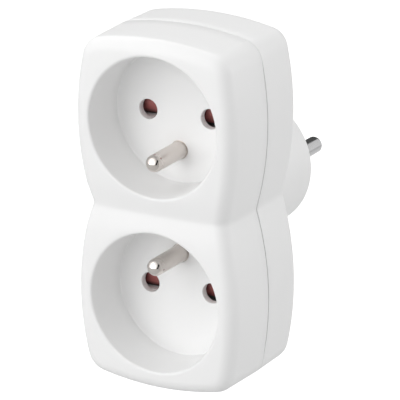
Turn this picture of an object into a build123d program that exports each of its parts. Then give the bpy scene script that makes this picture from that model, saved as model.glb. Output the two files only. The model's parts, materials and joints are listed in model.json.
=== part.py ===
from build123d import *
import math
import os

# Double socket adapter: two earthed two-pole sockets, one above the other, on one plug.
# The origin is the centre of the plug's end face, the pins point along +Y and the sockets face -Y.
# A level is a distance in front of the plug's end face, measured towards the sockets.
# Heights are measured from the middle between the sockets until the pieces are moved to the origin.

# Plug and socket interface, millimetres
contact_spacing = 19.0
earth_offset = 10.0
plug_pin_diameter = 4.8
plug_pin_length = 19.0
plug_pin_tip_round = 1.3
earth_pin_diameter = 4.8
earth_pin_projection = 15.3
contact_hole_diameter = 5.6
recess_diameter = 39.0
recess_floor_diameter = 38.2
recess_depth = 15.3
recess_rim_round = 0.7
plug_diameter = 37.6
plug_length = 17.0
plug_edge_round = 1.0
plug_rise = 0.8

# Outer form of the body
socket_pitch = 49.2
body_width = 49.4
upper_reach = 48.7
lower_reach = 49.8
body_depth = 38.0
rear_shell_depth = 18.0
side_bow_radius = 84.5
end_bow_radius = 90.0
corner_radius = 6.5
waist_radius = 3.0
dome_radius = 220.0
valley_radius = 14.0
front_draft = 0.6
rear_draft = 1.5
front_edge_round = 3.7
rear_edge_round = 4.8

# Walls and the seam between the two shells
wall = 2.2
front_wall = 3.6
rear_wall = 1.8
plug_face_wall = 3.0
well_wall = 1.8
floor_thickness = 2.1
seam_gap = 0.35
tongue_height = 1.8
tongue_inset = 1.2
tongue_thickness = 0.8
tongue_clearance = 0.1

# Shutters behind the contact holes
shutter_half_width = 13.5
shutter_thickness = 5.0
shutter_drop = 2.6
shutter_rise = 5.2
pin_margin = 0.4
shutter_clearance = 0.25
stop_clearance = 0.1
ramp_rise = 1.4
ramp_depth = 2.3
bridge_half_width = 4.2
bridge_rise = 0.6
bridge_thickness = 2.4
spigot_diameter = 1.6
spigot_length = 2.0
guide_thickness = 1.2
guide_drop = 4.6
stop_width = 9.0
stop_thickness = 1.5
spring_solid_length = 2.6
spring_seat_thickness = 1.2
spring_diameter = 3.0
spring_wire = 0.4
spring_turns = 5
spring_end_gap = 0.1

# Shutter covers
cover_thickness = 1.2
cover_corner_radius = 3.0
cover_margin = 0.6
cover_ear_width = 5.4
cover_hole_clearance = 0.15
post_spread = 34.0
post_rise = 3.0
post_diameter = 3.4
post_tip_diameter = 2.2

# Conductors
bar_thickness = 0.8
bar_standoff = 0.4
bar_width = 6.0
bar_overhang = 4.0
earth_bar_width = 7.0
clip_sheet = 0.5
clip_width = 6.0
clip_base = 7.6
clip_throat = 4.3
clip_mouth = 7.2
clip_flare = 2.7
clip_cover_gap = 0.55
rivet_diameter = 2.2
rivet_head_diameter = 3.6
rivet_head_height = 0.4
pin_root_diameter = 5.4
pin_flange_diameter = 7.0
pin_tail_diameter = 3.0
earth_seat_diameter = 5.2
earth_collar_diameter = 6.4
earth_collar_height = 1.2
earth_tail_diameter = 2.4
sleeve_bore = 5.0
sleeve_wall = 0.8
fit_clearance = 0.05
pillar_wall = 2.0
earth_pillar_wall = 1.6

# Housing screws
screw_spread = 34.0
screw_height = 83.6
screw_diameter = 2.8
screw_head_diameter = 5.0
screw_head_height = 1.8
screw_length = 18.0
screw_seat_depth = 9.0
screw_clearance = 0.15
screw_slot_width = 0.8
screw_slot_depth = 0.8
screw_boss_wall = 1.3

# Levels and places that follow from the sizes above
back_level = plug_length
seam_level = back_level + rear_shell_depth
front_level = back_level + body_depth
inner_back_level = back_level + rear_wall
inner_front_level = front_level - front_wall
floor_level = front_level - recess_depth
floor_back_level = floor_level - floor_thickness
shutter_front_level = floor_back_level - shutter_clearance
shutter_back_level = shutter_front_level - shutter_thickness
cover_front_level = shutter_back_level - shutter_clearance
cover_back_level = cover_front_level - cover_thickness
bar_back_level = inner_back_level + bar_standoff
bar_front_level = bar_back_level + bar_thickness
clip_floor_level = bar_front_level + clip_sheet
clip_mouth_level = cover_back_level - clip_cover_gap
spring_level = (shutter_front_level + shutter_back_level) / 2
shutter_travel = shutter_drop + plug_pin_diameter / 2 + pin_margin
spring_length = shutter_travel + spring_solid_length
spring_seat_rise = shutter_rise + spring_length
guide_half_width = shutter_half_width + shutter_clearance + guide_thickness
contact_x = contact_spacing / 2
socket_z = socket_pitch / 2
earth_z = socket_z - earth_offset
sleeve_z = plug_rise + earth_offset
half_width = body_width / 2
plug_pin_radius = plug_pin_diameter / 2
earth_pin_radius = earth_pin_diameter / 2
sleeve_radius = sleeve_bore / 2 + sleeve_wall
screw_x = screw_spread / 2
screw_z = screw_height / 2
screw_places = [(-screw_x, -screw_z), (-screw_x, screw_z), (screw_x, -screw_z), (screw_x, screw_z)]


def level(distance):
    """Plane parallel to the plug's end face that looks towards the sockets."""
    return Plane.XZ.offset(distance)


def rear_level(distance):
    """Plane at a level that looks towards the wall socket."""
    return Plane(origin=(0, -distance, 0), x_dir=(-1, 0, 0), z_dir=(0, 1, 0))


def rod(x, z, radius, low, high):
    """Round bar along the plug's axis between two levels."""
    return extrude(level(low) * Pos(x, z) * Circle(radius), high - low)


def block(x_range, z_range, low, high):
    """Straight block between two levels."""
    width = x_range[1] - x_range[0]
    height = z_range[1] - z_range[0]
    middle = Pos((x_range[0] + x_range[1]) / 2, (z_range[0] + z_range[1]) / 2)
    return extrude(level(low) * middle * Rectangle(width, height), high - low)


def turned(points):
    """Solid of revolution from (radius, level) points, about the plug's axis."""
    return revolve(Plane.XZ * make_face(Polyline(*points, close=True)), Axis.Z)


def placed(solid, x, z):
    """A turned solid moved on to an axis of the adapter."""
    return level(0) * Pos(x, z, 0) * solid


def drafted(plane, outline, depth, angle):
    """Prism on a plane whose sides lean in by a draft angle."""
    prism = extrude(plane * outline, depth)
    return draft(prism.faces().filter_by(GeomType.CYLINDER), plane, angle)


def lobe(reach, inset):
    """One half of the outline, from the middle to the bowed end at its reach, drawn in by an inset."""
    half = Pos(half_width - side_bow_radius, socket_z) * Circle(side_bow_radius - inset)
    half &= Pos(side_bow_radius - half_width, socket_z) * Circle(side_bow_radius - inset)
    half &= Pos(0, reach - end_bow_radius) * Circle(end_bow_radius - inset)
    return half & Pos(0, reach) * Rectangle(2 * reach, 2 * reach)


def body_outline(inset):
    """Seen from the front: two bowed lobes that meet in a rounded waist."""
    outline = lobe(upper_reach, inset) + mirror(lobe(lower_reach, inset), Plane.XZ)
    outline = fillet(outline.vertices().sort_by(lambda v: abs(v.Y))[:2], waist_radius + inset)
    return fillet(outline.vertices().sort_by(lambda v: abs(v.Y))[-4:], corner_radius - inset)


def front_form():
    """Outer form in front of the seam: a shallow dome over each socket and a soft valley between."""
    ball = Sphere(dome_radius)
    crown = Pos(0, dome_radius - front_level, socket_z) * ball
    crown += Pos(0, dome_radius - front_level, -socket_z) * ball
    crown = fillet(crown.edges().filter_by(Plane.XY), valley_radius)
    form = drafted(level(seam_level), body_outline(0), body_depth - rear_shell_depth, front_draft) & crown
    front_faces = [f for f in form.faces() if f.center().Y < -inner_front_level]
    front_edges = ShapeList(e for f in front_faces for e in f.edges())
    side_edges = ShapeList(e for f in form.faces() if f not in front_faces for e in f.edges())
    return fillet([e for e in front_edges if e in side_edges], front_edge_round)


def rear_form():
    """Outer form behind the seam, with the round plug on its back."""
    form = drafted(rear_level(seam_level), body_outline(0), rear_shell_depth, rear_draft)
    form = fillet(form.faces().sort_by(Axis.Y)[-1].edges(), rear_edge_round)
    plug = rod(0, plug_rise, plug_diameter / 2, 0, back_level)
    plug = fillet(plug.faces().sort_by(Axis.Y)[-1].edges(), plug_edge_round)
    return form + plug


def recess():
    """Round well of a socket, with a little draft and a rolled rim."""
    radius = recess_diameter / 2
    mouth = radius + recess_rim_round
    rim = front_level - dome_radius + math.sqrt(dome_radius**2 - mouth**2)
    start = (radius, rim - recess_rim_round)
    middle = mouth - recess_rim_round * math.sqrt(0.5), rim - recess_rim_round * (1 - math.sqrt(0.5))
    outside = front_level + wall
    wall_lines = Polyline((mouth, rim), (mouth, outside), (0, outside), (0, floor_level),
                          (recess_floor_diameter / 2, floor_level), start)
    return revolve(Plane.XZ * make_face(wall_lines + ThreePointArc(start, middle, (mouth, rim))), Axis.Z)


def shutter_seat(z):
    """Guides, spring seat, stop and cover posts on the back of a socket's floor."""
    outer = guide_half_width
    top = z + spring_seat_rise
    seat = block((-outer, outer), (top, top + spring_seat_thickness), cover_front_level, floor_back_level)
    for side in (-1, 1):
        edges = sorted((side * (outer - guide_thickness), side * outer))
        seat += block(edges, (z - guide_drop, top), cover_front_level, floor_back_level)
        post_x = side * post_spread / 2
        seat += rod(post_x, z + post_rise, post_diameter / 2, cover_front_level, floor_back_level)
        seat += rod(post_x, z + post_rise, post_tip_diameter / 2, cover_back_level, cover_front_level)
    stop_top = z - shutter_drop - stop_clearance
    stop_x = (-contact_x - stop_width / 2, -contact_x + stop_width / 2)
    return seat + block(stop_x, (stop_top - stop_thickness, stop_top), shutter_back_level, floor_back_level)


def front_housing():
    """Front shell with both socket wells."""
    shell = front_form()
    shell -= drafted(level(seam_level), body_outline(wall), inner_front_level - seam_level, front_draft)
    shell -= extrude(level(seam_level) * body_outline(tongue_inset - tongue_clearance), tongue_height)
    shell -= extrude(level(seam_level) * body_outline(-wall), seam_gap)
    well_radius = max(recess_diameter, recess_floor_diameter) / 2 + well_wall
    boss_top = inner_front_level + front_wall / 3
    for x, z in screw_places:
        shell += rod(x, z, screw_diameter / 2 + screw_boss_wall, seam_level, boss_top)
    for side in (-1, 1):
        z = side * socket_z
        shell += rod(0, z, well_radius, floor_back_level, boss_top)
        shell += shutter_seat(z)
    for side in (-1, 1):
        z = side * socket_z
        shell -= placed(recess(), 0, z)
        for x in (-contact_x, contact_x):
            shell -= rod(x, z, contact_hole_diameter / 2, floor_back_level, floor_level)
        seat_radius = earth_seat_diameter / 2 + fit_clearance
        shell -= rod(0, side * earth_z, seat_radius, floor_back_level, floor_level)
    pilot_end = back_level + screw_seat_depth + screw_length + screw_clearance
    for x, z in screw_places:
        shell -= rod(x, z, screw_diameter / 2 + fit_clearance, seam_level, pilot_end)
    return shell


def rear_housing():
    """Rear shell with the plug, its pin pillars, the screw tubes and the tongue of the seam."""
    shell = rear_form()
    shell -= drafted(rear_level(seam_level), body_outline(wall), rear_shell_depth - rear_wall, rear_draft)
    shell -= rod(0, plug_rise, plug_diameter / 2 - wall, plug_face_wall, inner_back_level)
    tongue = body_outline(tongue_inset) - body_outline(tongue_inset + tongue_thickness)
    shell += extrude(level(seam_level) * tongue, tongue_height)
    root_hole = pin_root_diameter / 2 + fit_clearance
    for x in (-contact_x, contact_x):
        shell += rod(x, plug_rise, root_hole + pillar_wall, plug_face_wall, inner_back_level)
    shell += rod(0, sleeve_z, sleeve_radius + earth_pillar_wall, plug_face_wall, inner_back_level)
    tube_radius = screw_head_diameter / 2 + screw_clearance + screw_boss_wall
    seat_level = back_level + screw_seat_depth
    for x, z in screw_places:
        shell += rod(x, z, tube_radius, inner_back_level, seat_level + screw_boss_wall)
        shell += rod(x, z, screw_diameter / 2 + screw_boss_wall, seat_level, seam_level)
    for x in (-contact_x, contact_x):
        for z in (-socket_z, socket_z):
            rest = (z - clip_width / 2, z + clip_width / 2)
            shell += block((x - bar_width / 2, x + bar_width / 2), rest, inner_back_level, bar_back_level)
    for x in (-contact_x, contact_x):
        shell -= rod(x, plug_rise, root_hole, 0, inner_back_level)
    shell -= rod(0, sleeve_z, sleeve_radius + fit_clearance, 0, inner_back_level)
    for x, z in screw_places:
        shell -= rod(x, z, screw_head_diameter / 2 + screw_clearance, back_level, seat_level)
        shell -= rod(x, z, screw_diameter / 2 + screw_clearance, seat_level, seam_level)
    return shell


def shutter(z):
    """Slider with a ramp behind each contact hole, joined by a bridge that clears the earth pin."""
    front, back = -shutter_front_level, -shutter_back_level
    low, high = z - shutter_drop, z + shutter_rise
    side = Polyline((front, high), (front, z + ramp_rise), (front + ramp_depth, low),
                    (back, low), (back, high), close=True)
    wing = extrude(Plane.YZ * make_face(side), shutter_half_width - bridge_half_width)
    wing = Pos(bridge_half_width, 0, 0) * wing
    slider = wing + mirror(wing, Plane.YZ)
    slider += block((-bridge_half_width, bridge_half_width), (low, z + bridge_rise), shutter_back_level,
                    shutter_back_level + bridge_thickness)
    for x in (-contact_x, contact_x):
        place = Plane(origin=(x, -spring_level, high), x_dir=(1, 0, 0), z_dir=(0, 0, 1))
        slider += extrude(place * Circle(spigot_diameter / 2), spigot_length)
    return slider


def shutter_springs(z):
    """Pair of return springs between the slider and its seat on the housing."""
    coil_radius = (spring_diameter - spring_wire) / 2
    height = spring_length - 2 * spring_end_gap - spring_wire
    path = Helix(height / spring_turns, height, coil_radius)
    section = Plane(origin=path @ 0, x_dir=(1, 0, 0), z_dir=path % 0) * Rectangle(spring_wire, spring_wire)
    coil = sweep(section, path, is_frenet=True)
    foot = z + shutter_rise + spring_end_gap + spring_wire / 2
    return [Pos(x, -spring_level, foot) * coil for x in (-contact_x, contact_x)]


def shutter_cover(z, earth):
    """Plate that keeps a slider on its seat, with passages for the pins."""
    low = z - guide_drop - cover_margin
    high = z + spring_seat_rise + spring_seat_thickness + cover_margin
    width = 2 * (guide_half_width + cover_margin)
    plate = Pos(0, (low + high) / 2) * RectangleRounded(width, high - low, cover_corner_radius)
    plate += Pos(0, z + post_rise) * SlotOverall(post_spread + cover_ear_width, cover_ear_width)
    for side in (-1, 1):
        plate -= Pos(side * contact_x, z) * Circle(contact_hole_diameter / 2 + cover_hole_clearance)
        plate -= Pos(side * post_spread / 2, z + post_rise) * Circle(post_tip_diameter / 2 + fit_clearance)
    if low < earth < high:
        plate -= Pos(0, earth) * Circle(earth_pin_radius + cover_hole_clearance)
    return extrude(level(cover_back_level) * plate, cover_thickness)


def contact_bar(x):
    """Strip that joins both sockets' contacts of one pole to its plug pin."""
    length = socket_pitch + 2 * bar_overhang
    strip = Pos(x, 0) * SlotOverall(length, bar_width, rotation=90)
    for z in (-socket_z, socket_z):
        strip -= Pos(x, z) * Circle(rivet_diameter / 2 + fit_clearance)
    strip -= Pos(x, plug_rise) * Circle(pin_tail_diameter / 2 + fit_clearance)
    return extrude(level(bar_back_level) * strip, bar_thickness)


def earth_bar():
    """Strip that joins both earth pins to the plug's earth sleeve."""
    strip = SlotOverall(2 * earth_z + earth_bar_width, earth_bar_width, rotation=90)
    for z in (-earth_z, earth_z, sleeve_z):
        strip -= Pos(0, z) * Circle(earth_tail_diameter / 2 + fit_clearance)
    return extrude(level(bar_back_level) * strip, bar_thickness)


def contact_clip(x, z):
    """Folded spring clip: a base on the bar and two blades with a narrow throat and a flared mouth."""
    half = clip_sheet / 2
    base = bar_front_level + half
    heel = clip_base / 2 - half
    throat = clip_throat / 2 + half
    mouth = clip_mouth / 2 - half
    blade = [(heel, base), (throat, clip_mouth_level - clip_flare), (mouth, clip_mouth_level)]
    fold = Polyline(*[(-a, b) for a, b in reversed(blade)], *blade)
    profile = Plane(origin=(x, 0, z - clip_width / 2), x_dir=(1, 0, 0), z_dir=(0, 0, 1)) * Rot(0, 0, 180)
    clip = extrude(profile * trace(fold, clip_sheet), clip_width)
    return clip - rod(x, z, rivet_diameter / 2 + fit_clearance, bar_front_level, clip_floor_level)


def contact_rivet(x, z):
    """Rivet that holds a clip on its bar."""
    head_top = clip_floor_level + rivet_head_height
    head = rivet_head_diameter / 2
    shank = rivet_diameter / 2
    points = [(0, bar_back_level), (shank, bar_back_level), (shank, clip_floor_level),
              (head, clip_floor_level), (shank, head_top), (0, head_top)]
    return placed(turned(points), x, z)


def plug_pin(x):
    """Turned pin of the plug, with a flange on its pillar and a tail through the bar."""
    flange = pin_flange_diameter / 2
    tail = pin_tail_diameter / 2
    tip = -plug_pin_length
    root = pin_root_diameter / 2
    points = [(0, tip), (plug_pin_radius, tip), (plug_pin_radius, 0), (root, 0), (root, inner_back_level),
              (flange, inner_back_level), (flange, bar_back_level), (tail, bar_back_level),
              (tail, bar_front_level), (0, bar_front_level)]
    pin = placed(turned(points), x, plug_rise)
    return fillet(pin.edges().sort_by(Axis.Y)[-1], plug_pin_tip_round)


def earth_pin(z):
    """Turned earth pin of a socket: round tip, collar behind the floor and a tail through the earth bar."""
    collar = earth_collar_diameter / 2
    collar_level = floor_back_level - earth_collar_height
    seat = earth_seat_diameter / 2
    tail = earth_tail_diameter / 2
    crown = floor_level + earth_pin_projection
    shoulder = (earth_pin_radius, crown - earth_pin_radius)
    middle = (earth_pin_radius * math.sqrt(0.5), crown - earth_pin_radius * (1 - math.sqrt(0.5)))
    lines = Polyline((0, crown), (0, bar_back_level), (tail, bar_back_level), (tail, bar_front_level),
                     (earth_pin_radius, bar_front_level), (earth_pin_radius, collar_level),
                     (collar, collar_level), (collar, floor_back_level), (seat, floor_back_level),
                     (seat, floor_level), (earth_pin_radius, floor_level), shoulder)
    profile = make_face(lines + ThreePointArc(shoulder, middle, (0, crown)))
    return placed(revolve(Plane.XZ * profile, Axis.Z), 0, z)


def earth_sleeve():
    """Sleeve in the plug that takes the wall socket's earth pin."""
    bore = sleeve_bore / 2
    tail = earth_tail_diameter / 2
    flange = pin_flange_diameter / 2 + earth_pillar_wall
    bore_end = inner_back_level - sleeve_wall
    points = [(bore, 0), (sleeve_radius, 0), (sleeve_radius, inner_back_level), (flange, inner_back_level),
              (flange, bar_back_level), (tail, bar_back_level), (tail, bar_front_level),
              (0, bar_front_level), (0, bore_end), (bore, bore_end)]
    return placed(turned(points), 0, sleeve_z)


def housing_screw(x, z):
    """Screw from the back, deep in its tube, with a slotted head."""
    seat = back_level + screw_seat_depth
    head = screw_head_diameter / 2
    shank = screw_diameter / 2
    face = seat - screw_head_height
    points = [(0, face), (head, face), (head, seat), (shank, seat),
              (shank, seat + screw_length), (0, seat + screw_length)]
    half_slot = screw_slot_width / 2
    slot = block((x - head, x + head), (z - half_slot, z + half_slot), face, face + screw_slot_depth)
    return placed(turned(points), x, z) - slot


def build():
    """All pieces of the adapter by name; a list is a group of like pieces."""
    poles = {"neutral": -contact_x, "live": contact_x}
    sockets = {"upper": (socket_z, earth_z), "lower": (-socket_z, -earth_z)}
    pieces = {"front_housing": front_housing(), "rear_housing": rear_housing()}
    for place, (z, earth) in sockets.items():
        pieces[f"{place}_shutter"] = shutter(z)
        pieces[f"{place}_shutter_springs"] = shutter_springs(z)
        pieces[f"{place}_shutter_cover"] = shutter_cover(z, earth)
        pieces[f"{place}_earth_pin"] = earth_pin(earth)
        for pole, x in poles.items():
            pieces[f"{place}_{pole}_clip"] = contact_clip(x, z)
    for pole, x in poles.items():
        pieces[f"{pole}_bar"] = contact_bar(x)
        pieces[f"{pole}_plug_pin"] = plug_pin(x)
    pieces["earth_bar"] = earth_bar()
    pieces["earth_sleeve"] = earth_sleeve()
    pieces["contact_rivets"] = [contact_rivet(x, z) for x in poles.values() for z in (-socket_z, socket_z)]
    pieces["housing_screws"] = [housing_screw(x, z) for x, z in screw_places]
    return pieces


os.makedirs("parts", exist_ok=True)
for name, piece in build().items():
    solids = [Pos(0, 0, -plug_rise) * s for s in (piece if isinstance(piece, list) else [piece])]
    export_step(Compound(solids) if len(solids) > 1 else solids[0], f"parts/{name}.step")
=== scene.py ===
import json
import math

import bmesh
import bpy
from bpy.props import FloatProperty, FloatVectorProperty, PointerProperty
from mathutils import Matrix, Vector
from mathutils.geometry import intersect_sphere_sphere_2d

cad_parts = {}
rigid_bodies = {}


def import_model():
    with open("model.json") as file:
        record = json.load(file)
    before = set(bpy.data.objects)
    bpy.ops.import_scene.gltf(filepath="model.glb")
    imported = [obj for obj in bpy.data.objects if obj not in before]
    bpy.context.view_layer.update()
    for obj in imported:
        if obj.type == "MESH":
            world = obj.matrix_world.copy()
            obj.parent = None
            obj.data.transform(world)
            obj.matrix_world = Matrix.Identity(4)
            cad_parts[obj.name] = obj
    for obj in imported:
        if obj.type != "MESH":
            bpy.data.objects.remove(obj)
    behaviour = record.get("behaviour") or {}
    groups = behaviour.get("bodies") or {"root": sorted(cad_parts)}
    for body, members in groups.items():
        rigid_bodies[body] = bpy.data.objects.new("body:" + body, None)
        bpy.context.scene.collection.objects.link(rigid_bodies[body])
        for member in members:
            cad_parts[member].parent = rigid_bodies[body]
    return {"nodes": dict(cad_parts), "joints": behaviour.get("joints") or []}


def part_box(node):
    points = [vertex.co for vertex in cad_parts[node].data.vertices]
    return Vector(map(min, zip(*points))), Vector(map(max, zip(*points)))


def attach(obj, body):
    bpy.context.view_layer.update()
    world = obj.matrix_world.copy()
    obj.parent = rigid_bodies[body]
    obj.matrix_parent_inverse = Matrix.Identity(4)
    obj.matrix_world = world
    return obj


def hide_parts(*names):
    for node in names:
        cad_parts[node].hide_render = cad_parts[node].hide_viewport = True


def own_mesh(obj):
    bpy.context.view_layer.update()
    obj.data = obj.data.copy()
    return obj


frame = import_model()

bl_info = {
    "name": "Double Socket Adapter",
    "version": (1, 0, 0),
    "blender": (4, 5, 0),
    "location": "View3D > Sidebar > Adapter",
    "description": "White plug adapter with two shuttered, earthed sockets",
    "category": "Object",
}

ALONG_PINS = Vector((0, 1, 0))
UPRIGHT = Vector((0, 0, 1))
NO_SLIDE = (0, 0, 0)
QUARTER_TURN = math.pi / 2
FULL_TURN = 2 * math.pi
WHITE = (1, 1, 1, 1)

# Vertices this close are one, and faces that meet more steeply than this leave a sharp edge
SAME_PLACE = 1e-6
SHARP = math.radians(32)

# Steps along the outline's arcs and round the small radii
END_STEPS = 14
CORNER_STEPS = 14
SIDE_STEPS = 36
WAIST_STEPS = 12
FRONT_STEPS = 14
REAR_STEPS = 16
RIM_STEPS = 6
FLOOR_STEPS = 5
HOLE_STEPS = 4
PLUG_STEPS = 6
EARTH_TIP_STEPS = 14
PLUG_TIP_STEPS = 10

# Sides of the round forms
SCREW_SIDES = 40
HOLE_SIDES = 48
PIN_SIDES = 64
WELL_SIDES = 96
PLUG_SIDES = 128

# Where rings lie on the way along a side wall and down a well
WALL_SHARES = (0.25, 0.5, 0.75, 1)
WELL_SHARES = (0.3, 0.6, 1)

# How much of the way that is left each ring goes, from the front's edge to a well's mouth
FIELD_SHARES = (0.05, 0.07, 0.1, 0.14, 0.2, 0.3, 0.5, 1)

# How often the line along the valley is cut
VALLEY_CUTS = 34

# Where the seam's rounded edge has its middle ring, and how much of the seam closes at the ends
SEAM_MIDDLE = 0.3
SEAM_CLOSED = 0.9

# Ease at the top of the valley's slopes, as a share of their half width
VALLEY_EASE = 1 / 3

# How deep the plug's root stands in the back wall, as a share of the wall
PLUG_SINK = 0.9

# Flatter faces of a shutter are joined, and its steeper and longer edges are rounded
SHUTTER_FLAT = math.radians(1)
SHUTTER_SHARP = math.radians(30)
SHUTTER_EDGE = 0.001

# Lamps with their place and width, and the place that they all look at
AIM = Vector((0, -0.04, 0))
LAMPS = {
    "key": ((-0.55, -1.1, 1.1), 1.0),
    "left": ((-0.8, -1.4, 0.3), 0.9),
    "front": ((0.2, -1.55, 0.5), 1.2),
    "top": ((-0.1, 0.7, 1.4), 0.8),
    "back": ((-0.9, 0.6, 1.1), 0.8),
    "side": ((1.2, 0.8, 0.25), 0.8),
}

# Soft box and dark place in the sky: the way to each, where it begins and is full, and the dark's light
SOFTBOX_WAY = (-0.3, -0.86, 0.41)
SOFTBOX_EDGE = (0.4, 0.75)
DARK_WAY = (-0.372, 0.872, 0.319)
DARK_EDGE = (0.88, 0.91)
DARK_LIGHT = 0.12

# Dark band in the sky: its axis, its middle on that axis, its edge from there, and the side it is on
BAND_AXIS = (0.772, 0.509, -0.380)
BAND_MIDDLE = 0.27
BAND_EDGE = (0.13, 0.20)
BAND_LIGHT = 0.04
BAND_SIDE = (0.475, -0.818, 0.323)
BAND_SIDE_EDGE = (-0.2, 0.0)

# Floor, the glowing pool of painted light on it behind the object, and the camera's film and reach
FLOOR_HALF = 2.5
FLOOR_COLOUR = (0.60, 0.60, 0.60)
POOL_PLACE = (-0.69, 1.19)
POOL_EDGE = (0.9, 0.45)
FILM_WIDTH = 36
VIEW_REACH = 100


# Sizes and finishes that a user would change

class BodySizes(bpy.types.PropertyGroup):
    """Outer form of the front and rear housing"""

    width: FloatProperty(name="Width", default=0.0494, unit="LENGTH",
                         description="Across the widest place of a lobe")
    upper_reach: FloatProperty(name="Upper Reach", default=0.0487, unit="LENGTH",
                               description="From the sockets' middle to the top")
    lower_reach: FloatProperty(name="Lower Reach", default=0.0498, unit="LENGTH",
                               description="From the sockets' middle to the bottom")
    depth: FloatProperty(name="Depth", default=0.0377, unit="LENGTH",
                         description="Both housings without the plug")
    rear_depth: FloatProperty(name="Rear Depth", default=0.018, unit="LENGTH",
                              description="From the back to the seam")
    side_bow: FloatProperty(name="Side Bow", default=0.0845, unit="LENGTH",
                            description="Radius of a lobe's side")
    end_bow: FloatProperty(name="End Bow", default=0.09, unit="LENGTH",
                           description="Radius of the top and bottom")
    corner: FloatProperty(name="Corner", default=0.0065, unit="LENGTH",
                          description="Radius of an outer corner")
    waist: FloatProperty(name="Waist", default=0.003, unit="LENGTH",
                         description="Radius of the notch between the lobes")
    dome: FloatProperty(name="Dome", default=0.35, unit="LENGTH",
                        description="Radius of the domed front over a socket")
    valley: FloatProperty(name="Valley", default=0.0005, unit="LENGTH",
                          description="Softness of the valley between the domes")
    valley_reach: FloatProperty(name="Valley Reach", default=0.006, unit="LENGTH",
                                description="Half width of the valley's slopes")
    valley_slope: FloatProperty(name="Valley Slope", default=math.radians(10), subtype="ANGLE",
                                description="Lean of the valley's slopes beside the domes")
    front_draft: FloatProperty(name="Front Draft", default=math.radians(0.6), subtype="ANGLE",
                               description="Lean of the front side walls")
    rear_draft: FloatProperty(name="Rear Draft", default=math.radians(1.5), subtype="ANGLE",
                              description="Lean of the rear side walls")
    front_round: FloatProperty(name="Front Round", default=0.0037, unit="LENGTH",
                               description="Radius of the front edge")
    rear_round: FloatProperty(name="Rear Round", default=0.0048, unit="LENGTH",
                              description="Radius of the rear edge")
    wall: FloatProperty(name="Wall", default=0.0022, unit="LENGTH",
                        description="Thickness of the side walls")
    back_wall: FloatProperty(name="Back Wall", default=0.0018, unit="LENGTH",
                             description="Thickness of the back")
    front_wall: FloatProperty(name="Front Wall", default=0.0036, unit="LENGTH",
                              description="Thickness of the front")
    seam_gap: FloatProperty(name="Seam Gap", default=0.0004, unit="LENGTH",
                            description="Width of the line between the housings")
    seam_round: FloatProperty(name="Seam Round", default=0.00012, unit="LENGTH",
                              description="Radius of the edges along the seam")
    seam_fade: FloatProperty(name="Seam Fade", default=0.005, unit="LENGTH",
                             description="Height over which the line closes towards the ends")
    tongue_inset: FloatProperty(name="Tongue Inset", default=0.0012, unit="LENGTH",
                                description="How deep the seam goes")
    tongue_width: FloatProperty(name="Tongue Width", default=0.0008, unit="LENGTH",
                                description="Thickness of the tongue in the seam")
    tongue_height: FloatProperty(name="Tongue Height", default=0.0018, unit="LENGTH",
                                 description="Height of the tongue over the seam")


class SocketSizes(bpy.types.PropertyGroup):
    """Socket wells, contact holes and earth pins"""

    pitch: FloatProperty(name="Pitch", default=0.0492, unit="LENGTH",
                         description="Between the centres of the sockets")
    well: FloatProperty(name="Well", default=0.0195, unit="LENGTH",
                        description="Radius of a well at its rim")
    well_floor: FloatProperty(name="Well Floor", default=0.0191, unit="LENGTH",
                              description="Radius of a well at its floor")
    well_depth: FloatProperty(name="Well Depth", default=0.015, unit="LENGTH",
                              description="From the front's highest place to the floor")
    well_wall: FloatProperty(name="Well Wall", default=0.0018, unit="LENGTH",
                             description="Thickness of a well's wall")
    rim_round: FloatProperty(name="Rim Round", default=0.0007, unit="LENGTH",
                             description="Radius of a well's rim")
    floor_round: FloatProperty(name="Floor Round", default=0.0005, unit="LENGTH",
                               description="Radius between wall and floor")
    floor_thickness: FloatProperty(name="Floor Thickness", default=0.0021, unit="LENGTH",
                                   description="Thickness of a well's floor")
    hole: FloatProperty(name="Contact Hole", default=0.0028, unit="LENGTH",
                        description="Radius of a contact hole")
    hole_round: FloatProperty(name="Hole Round", default=0.0002, unit="LENGTH",
                              description="Radius of a contact hole's edge")
    spacing: FloatProperty(name="Contact Spacing", default=0.019, unit="LENGTH",
                           description="Between a socket's contact holes")
    earth_offset: FloatProperty(name="Earth Offset", default=0.01, unit="LENGTH",
                                description="From the contact holes to the earth pin")
    earth_seat: FloatProperty(name="Earth Seat", default=0.0026, unit="LENGTH",
                              description="Radius of an earth pin in the floor")
    earth_sink: FloatProperty(name="Earth Sink", default=0.00035, unit="LENGTH",
                              description="From the floor down to an earth pin's collar")
    stop_width: FloatProperty(name="Stop Width", default=0.009, unit="LENGTH",
                              description="Width of the shutter's stop rib")
    stop_height: FloatProperty(name="Stop Height", default=0.0015, unit="LENGTH",
                               description="Height of the shutter's stop rib")
    stop_drop: FloatProperty(name="Stop Drop", default=0.0027, unit="LENGTH",
                             description="From a hole's centre down to the stop")
    stop_depth: FloatProperty(name="Stop Depth", default=0.00525, unit="LENGTH",
                              description="From the floor's back to the stop's end")
    shutter_round: FloatProperty(name="Shutter Round", default=0.00015, unit="LENGTH",
                                 description="Width of a shutter's rounded edges")


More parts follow.
